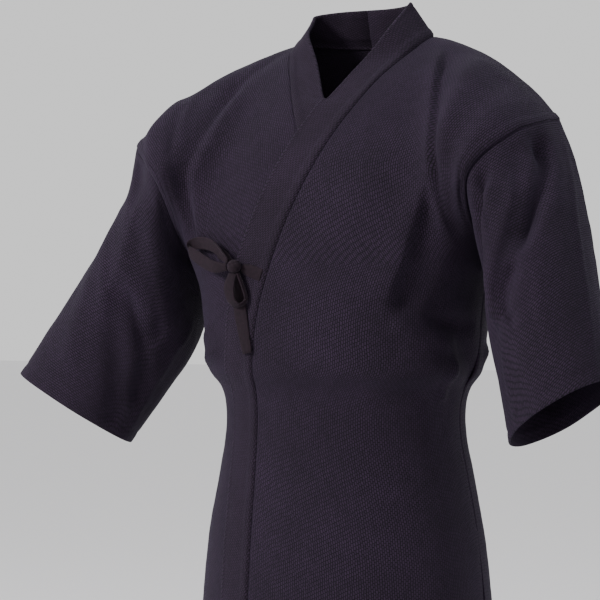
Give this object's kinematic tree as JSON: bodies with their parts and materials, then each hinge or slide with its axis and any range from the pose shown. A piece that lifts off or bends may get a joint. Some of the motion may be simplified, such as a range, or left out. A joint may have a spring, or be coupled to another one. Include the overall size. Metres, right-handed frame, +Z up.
{
  "type": "kendo jacket",
  "caption": "Worn-form kendo jacket in thick quilted indigo cotton: wrap front with a folded collar band, wide three-quarter sleeves, side slits and a tied bow at the chest.",
  "frame": {"origin": "middle of the neck opening, level with the shoulder lines beside the neck, where the wearer's shoulders hold the jacket", "axes": "+X to the wearer's left, +Y to the back, +Z up"},
  "size_m": [0.7478, 0.2835, 0.8185],
  "materials": {
    "quilted_cotton": "matte, rice-grain quilted weave",
    "collar_cotton": "matte, folded double and stitched",
    "tie_cotton": "matte, plain weave"
  },
  "bodies": {
    "root": {"body_left": "quilted_cotton", "body_right": "quilted_cotton", "sleeve_left": "quilted_cotton", "sleeve_right": "quilted_cotton", "collar_left": "collar_cotton", "collar_right": "collar_cotton", "tie_left": "tie_cotton", "tie_right": "tie_cotton", "bow_loop": "tie_cotton", "bow_hanging_loop": "tie_cotton", "bow_tail": "tie_cotton", "bow_knot": "tie_cotton"}
  },
  "joints": []
}
